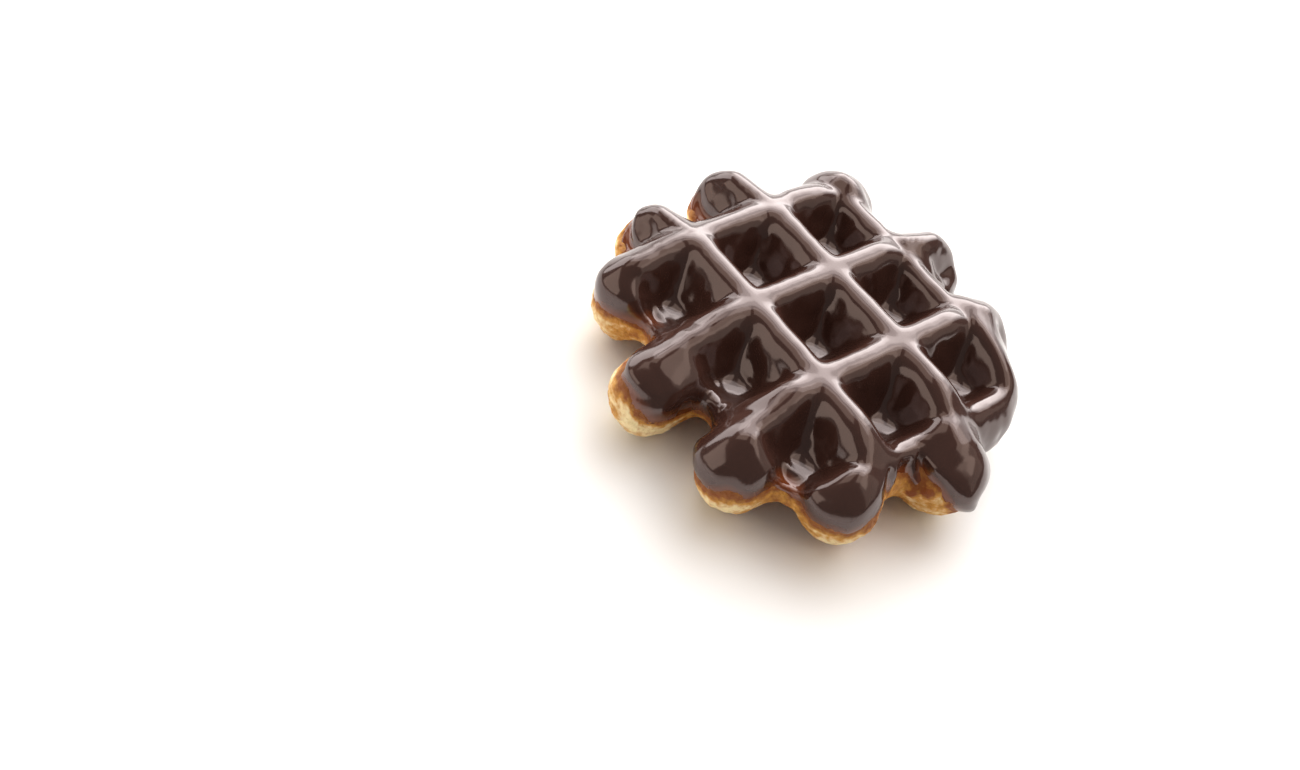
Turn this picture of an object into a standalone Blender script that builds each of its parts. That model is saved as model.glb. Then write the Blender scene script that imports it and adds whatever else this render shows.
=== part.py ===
"""A chocolate-coated Belgian waffle lying flat, for Blender 4.5: metres, +Z up.

Two solids: the baked dough, with its grid of pockets on both faces, and the shell of
chocolate that covers its upper face and hangs down its side. The origin is on the table
under the middle of the waffle, and the ribs run along X and Y.
"""

import math

import bmesh
import bpy
import numpy as np
from mathutils import kdtree
from mathutils.geometry import delaunay_2d_cdt

# Driving sizes in metres.
PITCH = 0.0240  # from one rib's centre line to the next
THICKNESS = 0.0250  # of the dough, from the lower ribs' flats to the upper ones
SEAM = 0.0110  # height of the widest line of the side, and of the web's middle
WEB = 0.0046  # dough left between an upper pocket and the one under it
FLOOR = 0.0118  # width of a pocket's floor
CORNER_BLEND = 0.0030  # softening where two walls meet in a pocket's corner
WALL_SLOPE = 2.9  # rise of a pocket's wall for each unit it leans out
TOP_ROUND = 0.0140  # how far in from the outline the ribs' tops start to slope down
UNDER_ROUND = 0.0105  # the same for the underside
RIB_DOME = 0.0080  # radius of the gentle dome across an upper rib
MOST_DOMED = 0.0030  # and how far that dome falls at most
LEVELLED = 0.0004  # taken off the lower ribs, which gives them flats to stand on
DROOP = 0.0032  # how much lower the ribs' upper edges run at their ends
DROOP_START = 1.2  # where they start to fall, in pitches from the middle rib
DROOP_REACH = 1.0  # and the pitches over which they fall
RIM_BLEND = 0.0034  # softening where a pocket's wall meets the rib's top
FLOOR_BLEND = 0.0030  # softening where the wall meets the floor
POOL_BLEND = 0.0066  # the same where chocolate has pooled in the pocket
COAT = 0.0014  # thickness of the chocolate
COAT_GAP = 0.0003  # kept between the chocolate and the dough

# The plan, in pitches from the middle crossing of the ribs.
MIDDLE = (0.3123, -0.3947)  # the outline's middle, which stands over the origin
BASE_CENTRE = (0.34, -0.32)  # the block of dough that all the ribs share
BASE_HALF = (1.71, 1.48)
BASE_CORNER = 0.75
END_BLEND = 0.16  # softening where a rib's round end meets the block
# Each rib's two ends swell out where they run off the iron: the outermost crossing, the
# centre of the round end, and its radius.
RIB_ENDS = (
    ((-1, -1), (-0.92, -1.68), 0.36),
    ((0, -1), (0.10, -2.14), 0.37),
    ((1, -1), (1.17, -1.92), 0.37),
    ((1, -1), (1.87, -1.27), 0.37),
    ((1, 0), (2.08, -0.20), 0.39),
    ((1, 1), (1.55, 0.68), 0.37),
    ((1, 1), (1.08, 1.10), 0.37),
    ((0, 1), (0.12, 1.32), 0.36),
    ((-1, 1), (-0.92, 1.02), 0.37),
    ((-1, 0), (-1.48, -0.10), 0.37),
    ((-1, -1), (-1.38, -1.12), 0.35),
)
CELLS = tuple((i + 0.5, j + 0.5) for i in range(-2, 2) for j in range(-2, 2))

# Height of the chocolate's lower edge above the table, round the waffle.
DRIP_MEAN = 0.0102
# Each wave is how many go round, how high it is, and where it starts, in radians.
DRIP_WAVES = ((1, 0.0052, 3.2), (5, 0.0008, 0.6), (11, 0.0006, 2.0), (17, 0.0003, 4.0))
DRIP_WIDTH = 0.0025  # in from the edge over which the chocolate hangs below the web

# How finely the surfaces are divided, before they are simplified.
OUTLINE_POINTS = 260
SIDE_TURNS = (10, 20, 30, 41, 52, 64, 76, 88)  # degrees up the rounded side, a ring each
POCKET_RINGS = (-0.0016, -0.0008, 0, 0.0008, 0.0016, 0.0024, 0.0032, 0.0042)  # from its floor
POCKET_POINTS = 40
CLOSEST = 0.0006  # points nearer than this are thinned out
DOUGH_TRIANGLES = 4800
LEVEL = 0.0001  # points this near to the table are put on it


def smooth_min(first, second, reach):
    """The lower of two heights, rounded off where they come within reach of each other."""
    near = np.clip(reach - np.abs(first - second), 0, None) / reach
    return np.minimum(first, second) - near**2 * reach / 4


def smooth_max(first, second, reach):
    return -smooth_min(-first, -second, reach)


def depth_in_box(points, centre, half, corner):
    """How far points lie inside a rounded rectangle, and negative outside it."""
    over = np.abs(points - np.array(centre)) - np.array(half) + corner
    outside = np.hypot(*np.clip(over, 0, None).T)
    return corner - outside - np.minimum(over.max(axis=1), 0)


def depth_in_bar(points, start, end, radius):
    """How far points lie inside a round-ended bar, and negative outside it."""
    start, along = np.array(start), np.subtract(end, start)
    share = np.clip((points - start) @ along / (along @ along), 0, 1)
    return radius - np.hypot(*(points - start - share[:, None] * along).T)


def depth_in_plan(points):
    """How far points lie inside the waffle's outline, both in metres."""
    plan = points / PITCH + np.array(MIDDLE)
    depth = depth_in_box(plan, BASE_CENTRE, BASE_HALF, BASE_CORNER)
    for crossing, end, radius in RIB_ENDS:
        depth = smooth_max(depth, depth_in_bar(plan, crossing, end, radius), END_BLEND)
    return depth * PITCH


def from_floor(points, cell):
    """How far points lie beyond a pocket's floor, negative over the floor."""
    centre = (np.array(cell) - np.array(MIDDLE)) * PITCH
    return smooth_max(*(np.abs(points - centre) - FLOOR / 2).T, CORNER_BLEND)


def droop(points):
    """How much lower the ribs' upper edges run here than in the middle."""
    past = np.abs(points / PITCH + np.array(MIDDLE)).max(axis=1) - DROOP_START
    return DROOP * np.clip(past / DROOP_REACH, 0, 1) ** 2


def domed(points):
    """How much lower the upper ribs' domes are here than at their crests."""
    plan = points / PITCH + np.array(MIDDLE)
    off_x, off_y = ((plan - np.clip(np.round(plan), -1, 1)).T * PITCH) ** 2
    fall = off_x * off_y / (off_x + off_y + 1e-12) / (2 * RIB_DOME)
    return fall * MOST_DOMED / (fall + MOST_DOMED)


def rises(points, floor_blend, grown):
    """How far the form rises above its seam, and then how far it falls below it.

    A form may be grown all over, as the coat's outer face is."""
    depth = depth_in_plan(points) + grown
    nearest = np.min([from_floor(points, cell) for cell in CELLS], axis=0)
    wall = nearest * WALL_SLOPE + grown * math.hypot(1, WALL_SLOPE)
    pocket = WEB / 2 + smooth_max(grown, wall, floor_blend)
    for full, rounding, highest in (
        (THICKNESS - SEAM - droop(points) - domed(points), TOP_ROUND, THICKNESS),
        (SEAM + LEVELLED, UNDER_ROUND, SEAM),
    ):
        left = 1 - np.clip(depth / (rounding + grown), 0, 1)
        crown = (full + grown) * np.sqrt(1 - left**2)
        rise = smooth_min(crown, pocket, RIM_BLEND + grown)
        yield np.clip(rise, 0, highest + grown)


def rays(count):
    turn = np.linspace(0, math.tau, count, endpoint=False)
    return np.column_stack([np.cos(turn), np.sin(turn)])


def reach(centre, directions, farthest, is_inside):
    """Points on the rays from a centre where a shape ends, found by halving."""
    near, far = np.zeros(len(directions)), np.full(len(directions), farthest)
    for _ in range(30):
        half_way = (near + far) / 2
        inside = is_inside(centre + directions * half_way[:, None])
        near, far = np.where(inside, half_way, near), np.where(inside, far, half_way)
    return centre + directions * near[:, None]


def outline(grown=0):
    """Points round the waffle's edge."""
    middle = np.zeros(2)
    return reach(middle, rays(OUTLINE_POINTS), 4 * PITCH, lambda p: depth_in_plan(p) > -grown)


def side_rings(edge, grown):
    """Rings of points inside the edge, one for each step up the rounded side."""
    along = np.roll(edge, -1, axis=0) - np.roll(edge, 1, axis=0)
    inwards = np.column_stack([-along[:, 1], along[:, 0]])
    inwards /= np.hypot(*inwards.T)[:, None]
    for turn in SIDE_TURNS:
        inset = (UNDER_ROUND + grown) * (1 - math.cos(math.radians(turn)))
        ring = edge + inwards * inset
        kept = np.abs(depth_in_plan(ring) + grown - inset) < 0.12 * inset + 0.0002
        yield ring[kept]


def pocket_rings():
    """Rounded squares of points down the walls of each pocket, and its middle."""
    for cell in CELLS:
        centre = (np.array(cell) - np.array(MIDDLE)) * PITCH
        for out in POCKET_RINGS:
            yield reach(
                centre, rays(POCKET_POINTS), PITCH, lambda p: from_floor(p, cell) < out
            )
        yield centre[None, :]


def rib_lines():
    """Points along the ribs: each crossing, and the middle of each stretch between two."""
    steps = np.arange(-2, 2.5, 0.5)
    plan = [(i, j) for i in steps for j in steps if i % 1 == 0 or j % 1 == 0]
    return (np.array(plan) - np.array(MIDDLE)) * PITCH


def thinned(points, kept_always):
    """The points with those left out that crowd an earlier one."""
    tree = kdtree.KDTree(len(points))
    for number, point in enumerate(points):
        tree.insert((*point, 0), number)
    tree.balance()
    dropped = set()
    for number in range(kept_always, len(points)):
        close = (other for _, other, _ in tree.find_range((*points[number], 0), CLOSEST))
        if any(other < number and other not in dropped for other in close):
            dropped.add(number)
    return [point for number, point in enumerate(points) if number not in dropped]


def make_form(name, floor_blend, grown=0):
    """The plan cut into triangles, which are then raised above and below the seam."""
    edge = outline(grown)
    inner = np.concatenate([*pocket_rings(), rib_lines(), *side_rings(edge, grown)])
    inner = inner[depth_in_plan(inner) + grown > CLOSEST / 2]
    points = thinned(np.concatenate([edge, inner]), len(edge))
    loop = [(i, (i + 1) % len(edge)) for i in range(len(edge))]
    points, _, faces, *_ = delaunay_2d_cdt([tuple(p) for p in points], loop, [], 1, 1e-7)
    points = np.array([tuple(point) for point in points])
    form = bmesh.new()
    sheets = []
    for side, rise in zip((1, -1), rises(points, floor_blend, grown)):
        rise[: len(edge)] = 0
        sheet = sheets[0][: len(edge)] if sheets else []
        for point, height in list(zip(points, rise))[len(sheet) :]:
            sheet.append(form.verts.new((*point, SEAM + side * height)))
        sheets.append(sheet)
        for face in faces:
            form.faces.new([sheet[i] for i in face[::side]])
    made = finish(name, form)
    simplify(made)
    return made


def simplify(made):
    """Cuts the number of triangles, and keeps the flats that it stands on level."""
    fewer = made.modifiers.new("fewer triangles", "DECIMATE")
    fewer.ratio = DOUGH_TRIANGLES / len(made.data.polygons)
    form = evaluated_form(made)
    made.modifiers.clear()
    for vertex in form.verts:
        if abs(vertex.co.z) < LEVEL:
            vertex.co.z = 0
    form.to_mesh(made.data)
    form.free()


def evaluated_form(thing):
    """A bmesh of the thing with its modifiers applied."""
    evaluated = thing.evaluated_get(bpy.context.evaluated_depsgraph_get())
    form = bmesh.new()
    form.from_mesh(evaluated.to_mesh())
    return form


def finish(name, form):
    """Turns a bmesh into a named, smoothly shaded object in the scene."""
    bmesh.ops.recalc_face_normals(form, faces=form.faces)
    mesh = bpy.data.meshes.new(name)
    form.to_mesh(mesh)
    form.free()
    mesh.shade_smooth()
    thing = bpy.data.objects.new(name, mesh)
    bpy.context.scene.collection.objects.link(thing)
    return thing


def drip_height(turn):
    """Height of the chocolate's lower edge at an angle round the waffle."""
    return DRIP_MEAN + sum(size * math.sin(n * turn + start) for n, size, start in DRIP_WAVES)


def below_drips():
    """A block that takes away the chocolate below its dripping edge and under the web."""
    form = bmesh.new()
    edge = outline()
    outwards = edge / np.hypot(*edge.T)[:, None]
    drips = [drip_height(math.atan2(y, x)) for x, y in edge]
    under_web = [SEAM - WEB / 4] * len(edge)
    far_below = [-THICKNESS] * len(edge)
    rings = []
    for inset, heights in (
        (-PITCH, far_below),
        (-PITCH, drips),
        (DRIP_WIDTH, drips),
        (DRIP_WIDTH * 2, under_web),
    ):
        plan = edge - outwards * inset
        rings.append([form.verts.new((*point, z)) for point, z in zip(plan, heights)])
    for lower, upper in zip(rings, rings[1:]):
        for here in range(len(edge)):
            after = (here + 1) % len(edge)
            form.faces.new((lower[here], lower[after], upper[after], upper[here]))
    form.faces.new(rings[0])
    form.faces.new(rings[-1])
    return finish("below_drips", form)


def swollen(dough, name, amount):
    """A copy of the dough, pushed out along its normals."""
    copy = bpy.data.objects.new(name, dough.data.copy())
    bpy.context.scene.collection.objects.link(copy)
    push = copy.modifiers.new("push out", "DISPLACE")
    push.strength = amount
    push.mid_level = 0
    return copy


def cut(thing, cutter):
    """Takes a hidden cutter away from the thing with a live Boolean."""
    cutter.hide_render = True
    cutter.display_type = "WIRE"
    difference = thing.modifiers.new(f"less {cutter.name}", "BOOLEAN")
    difference.operation = "DIFFERENCE"
    difference.object = cutter


def piece_of(form, seed):
    """Every vertex that edges join to the seed."""
    found, edge_of_search = {seed}, [seed]
    while edge_of_search:
        vertex = edge_of_search.pop()
        for edge in vertex.link_edges:
            other = edge.other_vert(vertex)
            if other not in found:
                found.add(other)
                edge_of_search.append(other)
    return found


def apply_cuts(thing):
    """Applies the thing's modifiers, removes its cutters and drops the scraps they leave."""
    cutters = [modifier.object for modifier in thing.modifiers if modifier.type == "BOOLEAN"]
    form = evaluated_form(thing)
    topmost = max(form.verts, key=lambda vertex: vertex.co.z)
    kept = piece_of(form, topmost)
    scraps = [vertex for vertex in form.verts if vertex not in kept]
    bmesh.ops.delete(form, geom=scraps, context="VERTS")
    thing.modifiers.clear()
    form.to_mesh(thing.data)
    form.free()
    for cutter in cutters:
        bpy.data.objects.remove(cutter)


def make_chocolate(dough):
    """The shell of chocolate over the upper face and part of the way down the side."""
    chocolate = make_form("chocolate_coat", POOL_BLEND, COAT_GAP + COAT)
    cut(chocolate, swollen(dough, "dough_and_gap", COAT_GAP))
    cut(chocolate, below_drips())
    apply_cuts(chocolate)
    return chocolate


def paint(thing, name, colour, roughness):
    """Gives the thing a Principled finish of its own."""
    made = bpy.data.materials.new(name)
    made.use_nodes = True
    shader = made.node_tree.nodes["Principled BSDF"]
    shader.inputs["Base Color"].default_value = (*colour, 1)
    shader.inputs["Roughness"].default_value = roughness
    shader.inputs["Metallic"].default_value = 0
    thing.data.materials.append(made)


for left_over in list(bpy.data.objects):
    bpy.data.objects.remove(left_over)
waffle = make_form("waffle", FLOOR_BLEND)
coat = make_chocolate(waffle)
paint(waffle, "baked dough", (0.62, 0.30, 0.08), 0.7)
paint(coat, "dark chocolate", (0.032, 0.014, 0.009), 0.15)
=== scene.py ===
"""A chocolate-coated Belgian waffle, laid out as a Blender add-on: metres, +Z up.

The baked dough and its shell of dark chocolate share one form, which Geometry Nodes raise
from the waffle's plan. The panel in the 3D view's sidebar makes each piece again.
"""

import math

import bpy
import numpy as np
from bpy.props import FloatProperty, FloatVectorProperty, IntProperty, StringProperty
from mathutils import Euler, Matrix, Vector
from mathutils.geometry import delaunay_2d_cdt


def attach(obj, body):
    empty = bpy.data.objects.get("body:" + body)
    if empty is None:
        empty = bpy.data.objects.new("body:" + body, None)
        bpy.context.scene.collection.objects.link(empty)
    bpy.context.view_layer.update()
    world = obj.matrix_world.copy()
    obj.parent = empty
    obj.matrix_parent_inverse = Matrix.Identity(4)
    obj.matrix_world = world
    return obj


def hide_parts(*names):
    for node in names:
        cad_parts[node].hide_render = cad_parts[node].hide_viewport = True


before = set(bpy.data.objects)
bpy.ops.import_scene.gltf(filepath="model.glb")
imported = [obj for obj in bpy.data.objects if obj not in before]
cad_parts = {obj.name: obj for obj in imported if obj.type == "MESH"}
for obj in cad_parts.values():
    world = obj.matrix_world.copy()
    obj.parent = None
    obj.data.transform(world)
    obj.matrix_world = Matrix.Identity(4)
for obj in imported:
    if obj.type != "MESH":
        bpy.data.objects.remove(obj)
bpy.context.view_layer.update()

bl_info = {
    "name": "Chocolate-coated waffle",
    "version": (1, 0, 0),
    "blender": (4, 5, 0),
    "location": "3D View > Sidebar > Waffle",
    "description": "Makes a Belgian waffle coated in dark chocolate, and its studio",
    "category": "Add Mesh",
}

# The plan, in pitches from the middle crossing of the ribs: the point that stands at the
# origin, the rounded block without its ribs' ends, and how softly the ends join it.
MIDDLE = (0.3123, -0.3947)
BASE_CENTRE = (0.34, -0.32)
BASE_HALF = (1.71, 1.48)
BASE_CORNER = 0.75
END_BLEND = 0.16
# Each rib's two ends: its outermost crossing, the centre of its round end, and the radius.
RIB_ENDS = (
    ((-1, -1), (-0.92, -1.68), 0.36),
    ((0, -1), (0.10, -2.14), 0.37),
    ((1, -1), (1.17, -1.92), 0.37),
    ((1, -1), (1.87, -1.27), 0.37),
    ((1, 0), (2.08, -0.20), 0.39),
    ((1, 1), (1.55, 0.68), 0.37),
    ((1, 1), (1.08, 1.10), 0.37),
    ((0, 1), (0.12, 1.32), 0.36),
    ((-1, 1), (-0.92, 1.02), 0.37),
    ((-1, 0), (-1.48, -0.10), 0.37),
    ((-1, -1), (-1.38, -1.12), 0.35),
)
# The lower corners of the first and last squares, and the first and last ribs, in pitches.
SQUARES = (-2.0, 1.0)
RIBS = (-1.0, 1.0)
DROOP_START = 1.2  # pitches from the middle rib to where the ribs start to fall
MOST_DOMED = 0.0030  # metres that the ribs' domes fall at most
LEVELLED = 0.0004  # metres off the lower ribs, which gives them flats to stand on

# How finely the plan is drawn.
FINE = 0.00052  # metres between the points of its grid
GRID_HALF = 3  # pitches from the middle to the grid's side
RAY = 4  # pitches that a ray runs from the middle, which is past the edge
EDGE_POINTS = 760
HALVINGS = 30  # steps that find the edge along a ray
SIDE_TURNS = range(4, 32, 4)  # degrees up the rounded side, with a ring of points at each
INSIDE_ONLY = 1  # keeps only the triangles inside the edge
ONE_POINT = 1e-7  # metres under which two points of the plan are one
WELD = 0.00001  # metres under which the upper and lower faces join at the edge

# The chocolate's lower edge: degrees round the waffle, and millimetres above the table.
DRIP_LINE = (
    (-180, 13.0), (-170, 11.5), (-160, 15.5), (-150, 14.0), (-144, 16.5), (-134, 12.5),
    (-124, 12.5), (-112, 12.5), (-104, 16.0), (-96, 15.5), (-88, 12.0), (-82, 10.5),
    (-75, 8.5), (-68, 9.5), (-60, 12.0), (-47, 13.5), (-38, 11.0), (-30, 10.5),
    (-23, 13.0), (-18, 15.0), (-15, 11.5), (-12, 15.5), (-8, 14.5), (-6, 12.0),
    (-4, 15.5), (-2, 14.5), (1, 9.5), (6, 5.0), (30, 4.5), (60, 6.5),
    (90, 5.0), (120, 8.0), (150, 11.0),
)
# Its ripples: their height in metres, how many go round, and the turn that they start at.
DRIP_RIPPLES = ((0.00035, 23, 1.0), (0.00020, 41, 0.4))
CUT = -0.0010  # metres above that edge where the coat's mesh ends, out of sight in the dough
SUNK = 0.00035  # metres that the coat dips into the dough there
SWELL_SIZE = 0.012  # metres across the slow waves of the coat
RIPPLE_SIZE = 0.0045  # metres across its ripples, which show on the steep walls
# The ripples' and the waves' strength: its change as a face turns up, and its value on a wall.
RIPPLE_SHARE = (-1.0, 1.3)
WAVE_GAIN = (-1.6, 2.8)

# How hard each part of the crust baked, from 0 to 1.
POCKET_BAKE = 0.60
FLAT_BAKE = 0.70
NOTCH_BAKE = 0.45
POCKET_FADE = (0.06, 6)  # how deep a pocket's browning starts, as a share, and how steeply
FLAT_FADE = (0.55, 0.4)  # where a flat's starts, as a share of the rounding, and how widely
NOTCH_FADE = 0.3  # pitches over which it fades along the ribs' ends
# The crust's wrinkles: metres across each run, and its share of the wrinkle height.
WRINKLES = ((0.0100, 1.6), (0.0034, 1.0), (0.0015, 0.6))
IRONED = 0.35  # share of the wrinkles that the hardest baking leaves
UNIRONED = 0.8  # share that the free side adds
LOWEST = (-1.0, -1.0, 0.0)  # metres that no point goes under: in z it is the table
# Where lumps of sugar caramelised on the free side, how wide and how proud, in metres.
SUGAR_LUMPS = ((0.0436, -0.0051, 0.0111), (0.0463, -0.0031, 0.0132))
LUMP_SIZE = 0.0016
LUMP_HEIGHT = 0.0008

# Metres across what colours and roughens the two surfaces.
BLOTCH = 0.0060  # a patch of crust that the heat reached unevenly
SPECK = 0.0016  # a fleck of toasted crumb
GRAIN = 0.0009  # the crust's pores, which are nearer 0.0003, as coarse as they need to show
DIMPLE = 0.0040  # the faint waves that chocolate sets in
# What the blotches and specks add to the toasting, and what keeps their mean at nothing.
BLOTCHY = 1.5
SPECKLED = 1.2
EVENED = -1.17
# Metres above the chocolate's edge over which the dough toasts, soaks and shows through.
TOASTED = (-0.0030, 0.0009)
SOAKED = (-0.0010, 0.0010)
THINNED = (0.0008, 0.0030)
# How strongly that edge and the lumps of sugar toast the dough, and chocolate soaks it.
EDGE_TOAST = 0.85
LUMP_TOAST = 0.7
SOAKING = 1.5
PALE_AT, GOLDEN_AT, BROWN_AT = 0.10, 0.5, 1.0  # toasting at which each colour is reached

# The studio: what the lights look at, and their sRGB hex colours.
AIM = (0, 0, 0.01)
WHITE = "FFFFFF"
WARM = "FFEFE0"
# Each soft light's name, place and size in metres, watts and colour. The back panels lie
# one before the other, so that what the chocolate mirrors fades towards their sides.
LIGHTS = (
    ("back panel", (-0.30, 0.46, 0.56), (1.30, 1.00), 6.4, WHITE),
    ("back panel's middle", (-0.33, 0.52, 0.48), (1.00, 0.75), 5.2, WHITE),
    ("back panel's heart", (-0.36, 0.56, 0.42), (0.80, 0.50), 2.8, WHITE),
    ("back panel's core", (-0.38, 0.59, 0.37), (0.65, 0.30), 1.2, WHITE),
    ("low back panel", (-0.43, 0.67, 0.09), (1.30, 0.18), 1.2, WHITE),
    ("side panel", (-0.75, -0.05, 0.30), (0.60, 0.50), 3.0, WHITE),
    ("overhead panel", (0.290, 0.345, 0.721), (0.75, 0.65), 1.9, WARM),
    ("overhead left panel", (-0.299, -0.109, 0.788), (0.55, 0.50), 0.9, WARM),
    ("right window", (0.520, 0.436, 0.424), (0.62, 0.60), 0.5, WARM),
    ("left strip", (-0.27, -0.66, 0.28), (0.80, 0.42), 1.5, WARM),
)
SKY = "F4F0EC"
SKY_STRENGTH = 0.22
FLOOR_SIZE = 6  # metres
LENS = 33.2308  # millimetres, fitted together with the camera's place and turn
NEAREST = 0.01  # metres from the camera to the nearest thing that it sees


class WaffleSizes(bpy.types.PropertyGroup):
    """What a maker would change about the baked waffle."""

    pitch: FloatProperty(
        name="Pitch",
        description="From one rib's centre line to the next",
        default=0.0240,
        subtype="DISTANCE",
        unit="LENGTH",
    )
    thickness: FloatProperty(
        name="Thickness",
        description="From the lower ribs' flats to the upper ones",
        default=0.0250,
        subtype="DISTANCE",
        unit="LENGTH",
    )
    web: FloatProperty(
        name="Web",
        description="Dough left between an upper pocket and the one under it",
        default=0.0046,
        subtype="DISTANCE",
        unit="LENGTH",
    )
    seam: FloatProperty(
        name="Seam",
        description="Height of the widest line of the side, and of the web's middle",
        default=0.0110,
        subtype="DISTANCE",
        unit="LENGTH",
    )
    droop: FloatProperty(
        name="Droop",
        description="How much lower the ribs' upper edges run at their ends",
        default=0.0032,
        subtype="DISTANCE",
        unit="LENGTH",
    )
    floor: FloatProperty(
        name="Pocket floor",
        description="Width of a pocket's floor",
        default=0.0122,
        subtype="DISTANCE",
        unit="LENGTH",
    )
    corner_blend: FloatProperty(
        name="Corner softness",
        description="Softening where two walls of a pocket meet in its corner",
        default=0.0068,
        subtype="DISTANCE",
        unit="LENGTH",
    )
    wall_slope: FloatProperty(
        name="Wall slope",
        description="Rise of a pocket's wall for each unit it leans out",
        default=2.9,
    )
    top_round: FloatProperty(
        name="Top rounding",
        description="How far in from the outline the ribs start to slope down",
        default=0.0140,
        subtype="DISTANCE",
        unit="LENGTH",
    )
    under_round: FloatProperty(
        name="Under rounding",
        description="How far in from the outline the underside rounds up",
        default=0.0105,
        subtype="DISTANCE",
        unit="LENGTH",
    )
    dome: FloatProperty(
        name="Rib dome",
        description="Radius of the gentle dome across a rib's top",
        default=0.0080,
        subtype="DISTANCE",
        unit="LENGTH",
    )
    rim_blend: FloatProperty(
        name="Rim softness",
        description="Softening where a pocket's wall meets the rib's top",
        default=0.0060,
        subtype="DISTANCE",
        unit="LENGTH",
    )
    floor_blend: FloatProperty(
        name="Floor softness",
        description="Softening where a pocket's wall meets its floor",
        default=0.0045,
        subtype="DISTANCE",
        unit="LENGTH",
    )
    wrinkle: FloatProperty(
        name="Wrinkle height",
        description="Height of the wrinkles in the crust, where no iron pressed it",
        default=0.00050,
        subtype="DISTANCE",
        unit="LENGTH",
    )
    pale: StringProperty(
        name="Pale crumb",
        description="sRGB hex colour of the sides, which no iron touched",
        default="FAE3AE",
    )
    golden: StringProperty(
        name="Golden crust",
        description="sRGB hex colour where the iron only just touched",
        default="CF943F",
    )
    brown: StringProperty(
        name="Brown crust",
        description="sRGB hex colour of the pockets, where it baked hardest",
        default="8C4A16",
    )
    stain: StringProperty(
        name="Stain",
        description="sRGB hex colour of the dough that the chocolate's edge has soaked",
        default="8A5018",
    )
    seed: IntProperty(
        name="Seed",
        description="Picks another run of the crust's wrinkles and the chocolate's waves",
        default=3,
    )


class ChocolateSizes(bpy.types.PropertyGroup):
    """What a maker would change about the coat of chocolate."""

    coat: FloatProperty(
        name="Coat",
        description="Height of the chocolate's surface over the dough",
        default=0.0017,
        subtype="DISTANCE",
        unit="LENGTH",
    )
    backing: FloatProperty(
        name="Backing",
        description="Depth of the shell behind the chocolate's surface",
        default=0.0004,
        subtype="DISTANCE",
        unit="LENGTH",
    )
    lip: FloatProperty(
        name="Lip",
        description="Width over which the coat thins out at its lower edge",
        default=0.0065,
        subtype="DISTANCE",
        unit="LENGTH",
    )
    drip_width: FloatProperty(
        name="Drip width",
        description="In from the outline over which chocolate hangs below the web",
        default=0.0025,
        subtype="DISTANCE",
        unit="LENGTH",
    )
    pool: FloatProperty(
        name="Pool softness",
        description="Softening where pooled chocolate meets the wall of a pocket",
        default=0.0155,
        subtype="DISTANCE",
        unit="LENGTH",
    )
    swell: FloatProperty(
        name="Swell",
        description="Height of the slow waves in the set chocolate",
        default=0.00050,
        subtype="DISTANCE",
        unit="LENGTH",
    )
    dark: StringProperty(
        name="Dark chocolate",
        description="sRGB hex colour of the chocolate",
        default="3A241E",
    )
    thin: StringProperty(
        name="Thin chocolate",
        description="sRGB hex colour where the coat's edge thins and the dough shows through",
        default="6E3618",
    )
    sheen: StringProperty(
        name="Sheen",
        description="sRGB hex tint of what the chocolate mirrors",
        default="FFEDEA",
    )


class StageSizes(bpy.types.PropertyGroup):
    """What a maker would change about the studio."""

    camera_place: FloatVectorProperty(
        name="Camera place",
        description="Where the camera stands",
        default=(0.10690, -0.16667, 0.21499),
        subtype="TRANSLATION",
        unit="LENGTH",
    )
    camera_turn: FloatVectorProperty(
        name="Camera turn",
        description="The camera's rotation about X, Y and Z",
        default=tuple(math.radians(turn) for turn in (38.513, -10.813, 55.255)),
        subtype="EULER",
        unit="ROTATION",
    )
    floor: StringProperty(
        name="Floor",
        description="sRGB hex colour of the pale floor",
        default="F4F4F4",
    )


def to_linear(hex_colour):
    """An sRGB hex colour as a linear colour with full alpha."""
    shades = [int(hex_colour[i : i + 2], 16) / 255 for i in (0, 2, 4)]
    linear = [s / 12.92 if s <= 0.04045 else ((s + 0.055) / 1.055) ** 2.4 for s in shades]
    return (*linear, 1.0)


def add(tree, kind, *values, inputs=None, **settings):
    """Adds a node with its settings, and gives its first output, which knows its node.

    A value for an input is a number, or a socket to link.
    """
    made = tree.nodes.new(kind)
    for name, setting in settings.items():
        setattr(made, name, setting)
    for socket, value in {**dict(enumerate(values)), **(inputs or {})}.items():
        if isinstance(value, bpy.types.NodeSocket):
            tree.links.new(value, made.inputs[socket])
        else:
            made.inputs[socket].default_value = value
    return made.outputs[0]


def new_tree(name, sizes):
    """A Geometry Nodes tree, and what it is given: a geometry, named sizes and a material."""
    tree = bpy.data.node_groups.new(name, "GeometryNodeTree")
    tree.interface.new_socket("Geometry", in_out="OUTPUT", socket_type="NodeSocketGeometry")
    tree.interface.new_socket("Geometry", in_out="INPUT", socket_type="NodeSocketGeometry")
    for size in sizes:
        tree.interface.new_socket(size, in_out="INPUT", socket_type="NodeSocketFloat")
    tree.interface.new_socket("Material", in_out="INPUT", socket_type="NodeSocketMaterial")
    start = tree.nodes.new("NodeGroupInput")
    return tree, start.outputs


def close_tree(tree, geometry, material):
    """Ends a tree: its instances become real and take the material."""
    real = add(tree, "GeometryNodeRealizeInstances", geometry)
    painted = add(tree, "GeometryNodeSetMaterial", inputs={"Geometry": real, "Material": material})
    finish = tree.nodes.new("NodeGroupOutput")
    tree.links.new(painted, finish.inputs[0])


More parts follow.
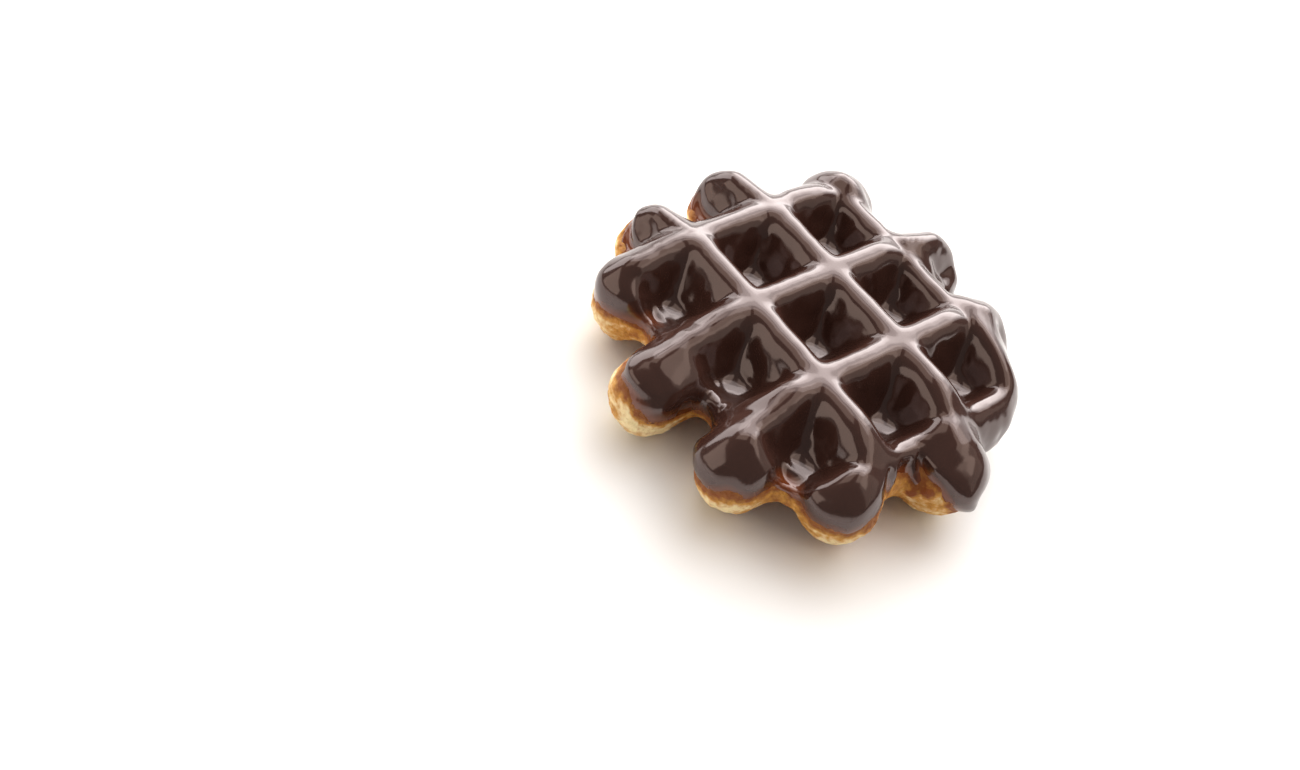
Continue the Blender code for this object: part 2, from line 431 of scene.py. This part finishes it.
def run_tree(mesh, tree, values):
    """The plain mesh that a Geometry Nodes tree makes from a mesh."""
    thing = bpy.data.objects.new(tree.name, mesh)
    bpy.context.scene.collection.objects.link(thing)
    modifier = thing.modifiers.new(tree.name, "NODES")
    modifier.node_group = tree
    for item in tree.interface.items_tree:
        if item.in_out == "INPUT" and item.name in values:
            modifier[item.identifier] = values[item.name]
    return baked(thing)


def baked(thing):
    """The plain mesh of an object with its modifiers applied. The object is removed."""
    graph = bpy.context.evaluated_depsgraph_get()
    mesh = bpy.data.meshes.new_from_object(
        thing.evaluated_get(graph), preserve_all_data_layers=True, depsgraph=graph
    )
    used = thing.data
    bpy.data.objects.remove(thing)
    bpy.data.meshes.remove(used)
    return mesh


def smooth_max(first, second, reach):
    """The greater of two values, rounded off where they come within reach of each other."""
    near = np.clip(reach - np.abs(first - second), 0, None) / reach
    return np.maximum(first, second) + near**2 * reach / 4


def past_base(plan):
    """How far points of the plan lie outside the waffle without its ribs' ends, in pitches."""
    over = np.abs(plan - np.array(BASE_CENTRE)) - np.array(BASE_HALF) + BASE_CORNER
    return np.hypot(*np.clip(over, 0, None).T) + np.minimum(over.max(axis=1), 0) - BASE_CORNER


def depth_in_plan(points, pitch):
    """How far points lie inside the waffle's outline, both in metres."""
    plan = points / pitch + np.array(MIDDLE)
    depth = -past_base(plan)
    for start, end, radius in RIB_ENDS:
        along = np.subtract(end, start)
        share = np.clip((plan - start) @ along / (along @ along), 0, 1)
        in_end = radius - np.hypot(*(plan - start - share[:, None] * along).T)
        depth = smooth_max(depth, in_end, END_BLEND)
    return depth * pitch


def outline(pitch):
    """Points round the waffle's edge, found along rays from its middle."""
    turn = np.linspace(0, math.tau, EDGE_POINTS, endpoint=False)
    ray = np.column_stack([np.cos(turn), np.sin(turn)])
    near, far = np.zeros(EDGE_POINTS), np.full(EDGE_POINTS, RAY * pitch)
    for _ in range(HALVINGS):
        half_way = (near + far) / 2
        inside = depth_in_plan(ray * half_way[:, None], pitch) > 0
        near, far = np.where(inside, half_way, near), np.where(inside, far, half_way)
    return ray * near[:, None]


def past_edge(turn):
    """How far in the rounded side is at some degrees up it, as a share of its rounding."""
    return 1 - math.cos(math.radians(turn))


def side_rings(edge, rounding):
    """Rings of points inside the edge, one for each step up the rounded side."""
    along = np.roll(edge, -1, axis=0) - np.roll(edge, 1, axis=0)
    inwards = np.column_stack([-along[:, 1], along[:, 0]])
    inwards /= np.hypot(*inwards.T)[:, None]
    for turn in SIDE_TURNS:
        yield edge + inwards * rounding * past_edge(turn)


def plan_mesh(sizes):
    """The waffle's plan as a flat mesh of fine triangles that knows its depth inside."""
    edge = outline(sizes.pitch)
    rings = np.concatenate(list(side_rings(edge, sizes.under_round)))
    spread = np.arange(-GRID_HALF * sizes.pitch, GRID_HALF * sizes.pitch, FINE)
    grid = np.array([(x, y) for x in spread for y in spread])
    past_rings = sizes.under_round * past_edge(SIDE_TURNS[-1])
    grid = grid[depth_in_plan(grid, sizes.pitch) > past_rings + FINE / 2]
    loop = [(i, (i + 1) % len(edge)) for i in range(len(edge))]
    points = [tuple(point) for point in (*edge, *rings, *grid)]
    points, _, faces, *_ = delaunay_2d_cdt(points, loop, [], INSIDE_ONLY, ONE_POINT)
    flat = np.array([tuple(point) for point in points])
    mesh = bpy.data.meshes.new("waffle plan")
    mesh.from_pydata([(x, y, 0) for x, y in flat], [], faces)
    depth = depth_in_plan(flat, sizes.pitch)
    depth[: len(edge)] = 0
    write(mesh, "depth", depth)
    return mesh


def write(mesh, name, values):
    """Stores a number for each point of a mesh."""
    attribute = mesh.attributes.new(name, "FLOAT", "POINT")
    attribute.data.foreach_set("value", values.astype(np.float32))


def places(mesh):
    """The points of a mesh, as an array."""
    flat = np.empty(len(mesh.vertices) * 3, np.float32)
    mesh.vertices.foreach_get("co", flat)
    return flat.reshape(-1, 3).astype(float)


def form_tree():
    """Geometry Nodes that raise the plan into the waffle, with a pocket in each square."""
    sizes = ("Pitch", "Thickness", "Seam", "Web", "Droop", "Floor", "Corner softness")
    sizes += ("Wall slope", "Top rounding", "Under rounding", "Rib dome", "Rim softness")
    sizes += ("Floor softness",)
    tree, given = new_tree("waffle form", sizes)
    where = add(tree, "GeometryNodeInputPosition")
    axes = add(tree, "ShaderNodeSeparateXYZ", where).node.outputs
    half_floor = add(tree, "ShaderNodeMath", given["Floor"], 0.5, operation="MULTIPLY")

    # Along x and y: how far out, how far past a pocket's floor, and off the crests squared.
    beyond, out, off_crests = [], [], []
    for axis, middle in zip(axes, MIDDLE):
        pitches = add(tree, "ShaderNodeMath", axis, given["Pitch"], operation="DIVIDE")
        pitches = add(tree, "ShaderNodeMath", pitches, middle, operation="ADD")
        out.append(add(tree, "ShaderNodeMath", pitches, operation="ABSOLUTE"))
        cell = add(tree, "ShaderNodeMath", pitches, operation="FLOOR")
        cell = add(tree, "ShaderNodeClamp", cell, *SQUARES)
        off = add(tree, "ShaderNodeMath", pitches, cell, operation="SUBTRACT")
        off = add(tree, "ShaderNodeMath", off, 0.5, operation="SUBTRACT")
        off = add(tree, "ShaderNodeMath", off, operation="ABSOLUTE")
        off = add(tree, "ShaderNodeMath", off, given["Pitch"], operation="MULTIPLY")
        beyond.append(add(tree, "ShaderNodeMath", off, half_floor, operation="SUBTRACT"))
        rib = add(tree, "ShaderNodeMath", pitches, operation="ROUND")
        rib = add(tree, "ShaderNodeClamp", rib, *RIBS)
        across = add(tree, "ShaderNodeMath", pitches, rib, operation="SUBTRACT")
        across = add(tree, "ShaderNodeMath", across, given["Pitch"], operation="MULTIPLY")
        off_crests.append(add(tree, "ShaderNodeMath", across, 2.0, operation="POWER"))

    # A pocket: its walls rise from half of the web, and meet softly in its corners.
    softness = given["Corner softness"]
    away = add(tree, "ShaderNodeMath", *beyond, softness, operation="SMOOTH_MAX")
    half_web = add(tree, "ShaderNodeMath", given["Web"], 0.5, operation="MULTIPLY")
    slope = given["Wall slope"]
    wall = add(tree, "ShaderNodeMath", away, slope, half_web, operation="MULTIPLY_ADD")
    softness = given["Floor softness"]
    pocket = add(tree, "ShaderNodeMath", half_web, wall, softness, operation="SMOOTH_MAX")

    # How high the ribs' tops stand over the seam, less the fall at their ends.
    depth = add(tree, "GeometryNodeInputNamedAttribute", "depth", data_type="FLOAT")
    out = add(tree, "ShaderNodeMath", *out, operation="MAXIMUM")
    past = add(tree, "ShaderNodeMath", out, DROOP_START, operation="SUBTRACT", use_clamp=True)
    past = add(tree, "ShaderNodeMath", past, 2.0, operation="POWER")
    fall = add(tree, "ShaderNodeMath", past, given["Droop"], operation="MULTIPLY")
    above = add(tree, "ShaderNodeMath", given["Thickness"], given["Seam"], operation="SUBTRACT")
    above = add(tree, "ShaderNodeMath", above, fall, operation="SUBTRACT")

    # The dome across a rib: a circle's fall, smooth where two ribs cross, and limited.
    both = add(tree, "ShaderNodeMath", *off_crests, operation="MULTIPLY")
    either = add(tree, "ShaderNodeMath", *off_crests, operation="ADD")
    off_crest = add(tree, "ShaderNodeMath", both, either, operation="DIVIDE")
    domed = add(tree, "ShaderNodeMath", off_crest, 0.5, operation="MULTIPLY")
    domed = add(tree, "ShaderNodeMath", domed, given["Rib dome"], operation="DIVIDE")
    limit = add(tree, "ShaderNodeMath", domed, MOST_DOMED, operation="ADD")
    domed = add(tree, "ShaderNodeMath", domed, MOST_DOMED, operation="MULTIPLY")
    domed = add(tree, "ShaderNodeMath", domed, limit, operation="DIVIDE")
    above = add(tree, "ShaderNodeMath", above, domed, operation="SUBTRACT")
    below = add(tree, "ShaderNodeMath", given["Seam"], LEVELLED, operation="ADD")

    # The upper and the lower face: a quarter ellipse in from the edge, less the pockets.
    turned = add(tree, "GeometryNodeFlipFaces", given["Geometry"])
    joined = tree.nodes.new("GeometryNodeJoinGeometry")
    softness = given["Rim softness"]
    for sheet, full, highest, rounding, side in (
        (given["Geometry"], above, given["Thickness"], given["Top rounding"], 1.0),
        (turned, below, given["Seam"], given["Under rounding"], -1.0),
    ):
        share = add(tree, "ShaderNodeMath", depth, rounding, operation="DIVIDE", use_clamp=True)
        left = add(tree, "ShaderNodeMath", 1.0, share, operation="SUBTRACT")
        left = add(tree, "ShaderNodeMath", left, 2.0, operation="POWER")
        left = add(tree, "ShaderNodeMath", 1.0, left, operation="SUBTRACT")
        bulge = add(tree, "ShaderNodeMath", left, operation="SQRT")
        crown = add(tree, "ShaderNodeMath", bulge, full, operation="MULTIPLY")
        rise = add(tree, "ShaderNodeMath", crown, pocket, softness, operation="SMOOTH_MIN")
        rise = add(tree, "ShaderNodeMath", rise, 0.0, operation="MAXIMUM")
        rise = add(tree, "ShaderNodeMath", rise, highest, operation="MINIMUM")
        height = add(tree, "ShaderNodeMath", rise, side, given["Seam"], operation="MULTIPLY_ADD")
        offset = add(tree, "ShaderNodeCombineXYZ", inputs={"Z": height})
        moves = {"Geometry": sheet, "Offset": offset}
        raised = add(tree, "GeometryNodeSetPosition", inputs=moves)
        tree.links.new(raised, joined.inputs[0])
    seam = {"Geometry": joined.outputs[0], "Distance": WELD}
    closed = add(tree, "GeometryNodeMergeByDistance", inputs=seam)
    close_tree(tree, closed, given["Material"])
    return tree


def dough_form(sizes, floor_blend):
    """The smooth form of the dough, or of the dough with pooled pockets."""
    values = {
        "Pitch": sizes.pitch,
        "Thickness": sizes.thickness,
        "Seam": sizes.seam,
        "Droop": sizes.droop,
        "Web": sizes.web,
        "Floor": sizes.floor,
        "Corner softness": sizes.corner_blend,
        "Wall slope": sizes.wall_slope,
        "Top rounding": sizes.top_round,
        "Under rounding": sizes.under_round,
        "Rib dome": sizes.dome,
        "Rim softness": sizes.rim_blend,
        "Floor softness": floor_blend,
    }
    return run_tree(plan_mesh(sizes), form_tree(), values)


def drip_height(angle):
    """Height of the chocolate's lower edge at an angle round the waffle, in metres."""
    turns, heights = np.array(DRIP_LINE).T
    turns = np.radians(np.concatenate([turns - 360, turns, turns + 360]))
    heights = np.tile(heights, 3) / 1000
    ripple = sum(tall * np.sin(many * angle + start) for tall, many, start in DRIP_RIPPLES)
    return np.interp(angle, turns, heights) + ripple


def above_drips(points, sizes, coat):
    """How far points lie above the chocolate's lower edge, negative on bare dough."""
    depth = depth_in_plan(points[:, :2], sizes.pitch)
    # In from the drips, the edge would lie a quarter of the web under its middle.
    inwards = np.clip((depth - coat.drip_width) / coat.drip_width, 0, 1)
    under_web = sizes.seam - sizes.web / 4
    drips = drip_height(np.arctan2(points[:, 1], points[:, 0]))
    return points[:, 2] - drips * (1 - inwards) - under_web * inwards


def browned(points, sizes):
    """How hard the iron baked the crust, from 0 on the free side up towards 1."""
    depth = depth_in_plan(points[:, :2], sizes.pitch)
    over = points[:, 2] - sizes.seam
    share = np.clip(depth / np.where(over > 0, sizes.top_round, sizes.under_round), 0, 1)
    plan = points[:, :2] / sizes.pitch + np.array(MIDDLE)
    past = np.abs(plan).max(axis=1) - DROOP_START
    top = sizes.thickness - sizes.seam - sizes.droop * np.clip(past, 0, 1) ** 2
    rise = np.abs(over) / np.where(over > 0, top, sizes.seam)
    crown = np.sqrt(1 - (1 - share) ** 2)
    start, steepness = POCKET_FADE
    in_pocket = np.clip((crown - rise - start) * steepness, 0, 1) * POCKET_BAKE
    start, width = FLAT_FADE
    on_flat = np.clip((share - start) / width, 0, 1) * FLAT_BAKE
    in_notch = np.clip(1 - past_base(plan) / NOTCH_FADE, 0, 1) * NOTCH_BAKE
    return np.maximum.reduce([in_pocket, on_flat, in_notch])


def sugared(points):
    """How much of a lump of sugar lies at points of the dough, from 0 to 1."""
    lumps = [np.linalg.norm(points - np.array(lump), axis=1) / LUMP_SIZE for lump in SUGAR_LUMPS]
    return np.exp(-(np.min(lumps, axis=0) ** 3))


def crust_tree(seed):
    """Geometry Nodes that wrinkle the crust along its normals, most on the free side."""
    tree, given = new_tree("crust", ("Wrinkle height",))
    baked_here = add(tree, "GeometryNodeInputNamedAttribute", "browned", data_type="FLOAT")
    free = add(tree, "ShaderNodeMath", 1.0, baked_here, operation="SUBTRACT")
    amount = add(tree, "ShaderNodeMath", free, UNIRONED, IRONED, operation="MULTIPLY_ADD")
    layers = []
    for size, share in WRINKLES:
        run = {"W": float(seed), "Scale": 1 / size, "Detail": 2.0}
        noise = add(tree, "ShaderNodeTexNoise", inputs=run, noise_dimensions="4D")
        centred = add(tree, "ShaderNodeMath", noise, 0.5, operation="SUBTRACT")
        layers.append(add(tree, "ShaderNodeMath", centred, share * 2, operation="MULTIPLY"))
    height = add(tree, "ShaderNodeMath", layers[0], layers[1], operation="ADD")
    height = add(tree, "ShaderNodeMath", height, layers[2], operation="ADD")
    height = add(tree, "ShaderNodeMath", height, amount, operation="MULTIPLY")
    height = add(tree, "ShaderNodeMath", height, given["Wrinkle height"], operation="MULTIPLY")
    lump = add(tree, "GeometryNodeInputNamedAttribute", "sugared", data_type="FLOAT")
    height = add(tree, "ShaderNodeMath", lump, LUMP_HEIGHT, height, operation="MULTIPLY_ADD")
    outwards = {"Vector": add(tree, "GeometryNodeInputNormal"), "Scale": height}
    offset = add(tree, "ShaderNodeVectorMath", inputs=outwards, operation="SCALE")
    moves = {"Geometry": given["Geometry"], "Offset": offset}
    wrinkled = add(tree, "GeometryNodeSetPosition", inputs=moves)
    place = add(tree, "GeometryNodeInputPosition")
    raised = add(tree, "ShaderNodeVectorMath", place, LOWEST, operation="MAXIMUM")
    moves = {"Geometry": wrinkled, "Position": raised}
    standing = add(tree, "GeometryNodeSetPosition", inputs=moves)
    close_tree(tree, standing, given["Material"])
    return tree


def coat_tree(seed):
    """Geometry Nodes that pour the coat: thick above, thinning to its dripping edge."""
    tree, given = new_tree("coat", ("Coat", "Lip", "Swell"))
    above = add(tree, "GeometryNodeInputNamedAttribute", "above drips", data_type="FLOAT")
    lip = {"Value": above, "From Min": CUT, "From Max": given["Lip"]}
    full = add(tree, "ShaderNodeMapRange", inputs=lip, interpolation_type="SMOOTHSTEP")
    thick = add(tree, "ShaderNodeMath", given["Coat"], SUNK, operation="ADD")
    height = add(tree, "ShaderNodeMath", full, thick, operation="MULTIPLY")
    height = add(tree, "ShaderNodeMath", height, SUNK, operation="SUBTRACT")

    # Slow waves all over, and ripples where the chocolate ran down a wall.
    waves = []
    for size, detail in ((SWELL_SIZE, 1.0), (RIPPLE_SIZE, 0.0)):
        run = {"W": float(seed), "Scale": 1 / size, "Detail": detail}
        noise = add(tree, "ShaderNodeTexNoise", inputs=run, noise_dimensions="4D")
        waves.append(add(tree, "ShaderNodeMath", noise, 0.5, operation="SUBTRACT"))
    swell, ripple = waves
    normal = add(tree, "GeometryNodeInputNormal")
    upwards = add(tree, "ShaderNodeSeparateXYZ", normal).node.outputs["Z"]
    share = add(tree, "ShaderNodeMath", upwards, *RIPPLE_SHARE, operation="MULTIPLY_ADD")
    wave = add(tree, "ShaderNodeMath", ripple, share, swell, operation="MULTIPLY_ADD")
    wave = add(tree, "ShaderNodeMath", wave, given["Swell"], operation="MULTIPLY")
    wave = add(tree, "ShaderNodeMath", wave, full, operation="MULTIPLY")
    gain = add(tree, "ShaderNodeMath", upwards, *WAVE_GAIN, operation="MULTIPLY_ADD")
    height = add(tree, "ShaderNodeMath", wave, gain, height, operation="MULTIPLY_ADD")

    outwards = {"Vector": normal, "Scale": height}
    offset = add(tree, "ShaderNodeVectorMath", inputs=outwards, operation="SCALE")
    moves = {"Geometry": given["Geometry"], "Offset": offset}
    moved = add(tree, "GeometryNodeSetPosition", inputs=moves)
    bare = add(tree, "FunctionNodeCompare", above, CUT, operation="LESS_THAN")
    cut = {"Geometry": moved, "Selection": bare}
    kept = add(tree, "GeometryNodeDeleteGeometry", inputs=cut, domain="POINT")
    close_tree(tree, kept, given["Material"])
    return tree


def backed(mesh, thickness):
    """The mesh with a second face behind it, so that it is a closed shell."""
    thing = bpy.data.objects.new("shell", mesh)
    bpy.context.scene.collection.objects.link(thing)
    shell = thing.modifiers.new("shell", "SOLIDIFY")
    shell.thickness = thickness
    shell.offset = -1  # all of it behind the surface
    return baked(thing)


def new_material(name, finish):
    """A material, its node tree and its shader, with a finish set on the shader's sockets."""
    made = bpy.data.materials.new(name)
    made.use_nodes = True
    shader = made.node_tree.nodes["Principled BSDF"]
    for socket, value in finish.items():
        shader.inputs[socket].default_value = value
    return made, made.node_tree, shader


def baked_crust(sizes):
    """Baked yeast dough: dry and matt, pale on the free side and browned by the iron."""
    finish = {
        "Roughness": 0.62,
        "IOR": 1.45,
        "Subsurface Weight": 0.15,
        "Subsurface Radius": (1.0, 0.5, 0.2),
        "Subsurface Scale": 0.002,
    }
    made, tree, shader = new_material("baked yeast dough", finish)
    place = add(tree, "ShaderNodeTexCoord").node.outputs["Object"]
    blotch, speck, grain = (
        add(tree, "ShaderNodeTexNoise", inputs={"Vector": place, "Scale": 1 / size, "Detail": 4.0})
        for size in (BLOTCH, SPECK, GRAIN)
    )
    hard, above, lump = (
        add(tree, "ShaderNodeAttribute", attribute_name=name).node.outputs["Fac"]
        for name in ("browned", "above drips", "sugared")
    )
    near, soaked = (
        add(
            tree,
            "ShaderNodeMapRange",
            inputs={"Value": above, "From Min": lowest, "From Max": highest},
            interpolation_type="SMOOTHSTEP",
        )
        for lowest, highest in (TOASTED, SOAKED)
    )

    # The crust is brown where the iron pressed it and along the chocolate's edge, unevenly.
    uneven = add(tree, "ShaderNodeMath", blotch, BLOTCHY, EVENED, operation="MULTIPLY_ADD")
    uneven = add(tree, "ShaderNodeMath", speck, SPECKLED, uneven, operation="MULTIPLY_ADD")
    near = add(tree, "ShaderNodeMath", near, EDGE_TOAST, operation="MULTIPLY")
    toast = add(tree, "ShaderNodeMath", hard, near, operation="MAXIMUM")
    toast = add(tree, "ShaderNodeMath", toast, uneven, operation="ADD")
    toast = add(tree, "ShaderNodeMath", lump, LUMP_TOAST, toast, operation="MULTIPLY_ADD")
    ramp = add(tree, "ShaderNodeValToRGB", toast)
    stops = ramp.node.color_ramp.elements
    stops[0].position, stops[0].color = PALE_AT, to_linear(sizes.pale)
    stops[1].position, stops[1].color = BROWN_AT, to_linear(sizes.brown)
    stops.new(GOLDEN_AT).color = to_linear(sizes.golden)

    # Chocolate soaks into the dough along its edge, in patches.
    stain = add(tree, "ShaderNodeMath", soaked, blotch, operation="MULTIPLY")
    stain = add(tree, "ShaderNodeMath", stain, SOAKING, operation="MULTIPLY", use_clamp=True)
    colours = {"Factor": stain, 6: ramp, 7: to_linear(sizes.stain)}
    stained = add(tree, "ShaderNodeMix", inputs=colours, data_type="RGBA").node.outputs[2]
    tree.links.new(stained, shader.inputs["Base Color"])
    pores = {"Strength": 0.9, "Distance": 0.0006, "Height": grain}
    tree.links.new(add(tree, "ShaderNodeBump", inputs=pores), shader.inputs["Normal"])
    return made


def poured_chocolate(coat):
    """Tempered dark chocolate, poured and set: glossy, and red-brown where its edge thins."""
    finish = {
        "Roughness": 0.12,
        "IOR": 1.7,
        "Specular IOR Level": 0.5,
        "Specular Tint": to_linear(coat.sheen),
    }
    made, tree, shader = new_material("tempered dark chocolate", finish)
    place = add(tree, "ShaderNodeTexCoord").node.outputs["Object"]
    above = add(tree, "ShaderNodeAttribute", attribute_name="above drips").node.outputs["Fac"]
    lowest, highest = THINNED
    thinning = {"Value": above, "From Min": lowest, "From Max": highest}
    ramp = add(tree, "ShaderNodeValToRGB", add(tree, "ShaderNodeMapRange", inputs=thinning))
    stops = ramp.node.color_ramp.elements
    stops[0].color, stops[1].color = to_linear(coat.thin), to_linear(coat.dark)
    tree.links.new(ramp, shader.inputs["Base Color"])
    dimples = {"Vector": place, "Scale": 1 / DIMPLE, "Detail": 1.0}
    uneven = add(tree, "ShaderNodeTexNoise", inputs=dimples)
    relief = {"Strength": 0.3, "Distance": 0.0004, "Height": uneven}
    tree.links.new(add(tree, "ShaderNodeBump", inputs=relief), shader.inputs["Normal"])
    return made


def place_piece(name, mesh, node):
    """Puts a finished mesh in the scene as the piece that stands for a node."""
    mesh.name = name
    mesh.shade_smooth()
    thing = bpy.data.objects.new(name, mesh)
    bpy.context.scene.collection.objects.link(thing)
    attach(thing, "root")
    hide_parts(node)


class WAFFLE_OT_bake_dough(bpy.types.Operator):
    """Makes the baked waffle"""

    bl_idname = "waffle.bake_dough"
    bl_label = "Bake the dough"

    def execute(self, context):
        sizes = context.scene.waffle_sizes
        mesh = dough_form(sizes, sizes.floor_blend)
        points = places(mesh)
        write(mesh, "browned", browned(points, sizes))
        write(mesh, "sugared", sugared(points))
        write(mesh, "above drips", above_drips(points, sizes, context.scene.chocolate_sizes))
        values = {"Wrinkle height": sizes.wrinkle, "Material": baked_crust(sizes)}
        mesh = run_tree(mesh, crust_tree(sizes.seed), values)
        place_piece("baked_waffle", mesh, "waffle")
        return {"FINISHED"}


class WAFFLE_OT_pour_chocolate(bpy.types.Operator):
    """Makes the shell of chocolate"""

    bl_idname = "waffle.pour_chocolate"
    bl_label = "Pour the chocolate"

    def execute(self, context):
        sizes, coat = context.scene.waffle_sizes, context.scene.chocolate_sizes
        mesh = dough_form(sizes, coat.pool)
        write(mesh, "above drips", above_drips(places(mesh), sizes, coat))
        values = {
            "Coat": coat.coat,
            "Lip": coat.lip,
            "Swell": coat.swell,
            "Material": poured_chocolate(coat),
        }
        mesh = backed(run_tree(mesh, coat_tree(sizes.seed), values), coat.backing)
        place_piece("poured_chocolate", mesh, "chocolate_coat")
        return {"FINISHED"}


def soft_light(name, place, size, watts, colour):
    """A rectangular studio light that looks at the waffle."""
    lamp = bpy.data.lights.new(name, "AREA")
    lamp.shape = "RECTANGLE"
    lamp.size, lamp.size_y = size
    lamp.energy = watts
    lamp.color = to_linear(colour)[:3]
    thing = bpy.data.objects.new(name, lamp)
    thing.location = place
    thing.rotation_euler = (Vector(AIM) - Vector(place)).to_track_quat("-Z", "Y").to_euler()
    bpy.context.scene.collection.objects.link(thing)


class WAFFLE_OT_set_stage(bpy.types.Operator):
    """Makes the floor, the lights and the camera"""

    bl_idname = "waffle.set_stage"
    bl_label = "Set the stage"

    def execute(self, context):
        stage = context.scene.stage_sizes
        bpy.ops.mesh.primitive_plane_add(size=FLOOR_SIZE, location=(0, 0, 0))
        floor = context.object
        floor.name = "floor"
        # Matt paper mirrors nothing, so only a soft shadow shows on it.
        finish = {"Base Color": to_linear(stage.floor), "Roughness": 0.9}
        paper, *_ = new_material("matt studio paper", finish)
        floor.data.materials.append(paper)

        world = bpy.data.worlds.new("studio")
        context.scene.world = world
        world.use_nodes = True
        sky = world.node_tree.nodes["Background"]
        sky.inputs["Color"].default_value = to_linear(SKY)
        sky.inputs["Strength"].default_value = SKY_STRENGTH
        for light in LIGHTS:
            soft_light(*light)

        camera = bpy.data.cameras.new("camera")
        camera.lens = LENS
        camera.clip_start = NEAREST
        eye = bpy.data.objects.new("camera", camera)
        eye.location = stage.camera_place
        eye.rotation_euler = Euler(stage.camera_turn)
        context.scene.collection.objects.link(eye)
        context.scene.camera = eye
        context.scene.view_settings.view_transform = "Standard"
        return {"FINISHED"}


class WAFFLE_PT_panel(bpy.types.Panel):
    """Sizes and steps for the waffle"""

    bl_label = "Waffle"
    bl_idname = "WAFFLE_PT_panel"
    bl_space_type = "VIEW_3D"
    bl_region_type = "UI"
    bl_category = "Waffle"

    def draw(self, context):
        scene = context.scene
        for group, step in (
            (scene.waffle_sizes, WAFFLE_OT_bake_dough),
            (scene.chocolate_sizes, WAFFLE_OT_pour_chocolate),
            (scene.stage_sizes, WAFFLE_OT_set_stage),
        ):
            box = self.layout.box()
            for name in group.__annotations__:
                box.prop(group, name)
            box.operator(step.bl_idname)


CLASSES = (
    WaffleSizes,
    ChocolateSizes,
    StageSizes,
    WAFFLE_OT_bake_dough,
    WAFFLE_OT_pour_chocolate,
    WAFFLE_OT_set_stage,
    WAFFLE_PT_panel,
)
GROUPS = {
    "waffle_sizes": WaffleSizes,
    "chocolate_sizes": ChocolateSizes,
    "stage_sizes": StageSizes,
}


def register():
    for made in CLASSES:
        bpy.utils.register_class(made)
    for name, group in GROUPS.items():
        setattr(bpy.types.Scene, name, bpy.props.PointerProperty(type=group))


def unregister():
    for name in GROUPS:
        delattr(bpy.types.Scene, name)
    for made in reversed(CLASSES):
        bpy.utils.unregister_class(made)


def main():
    register()
    bpy.ops.waffle.bake_dough()
    bpy.ops.waffle.pour_chocolate()
    bpy.ops.waffle.set_stage()


if __name__ == "__main__":
    main()
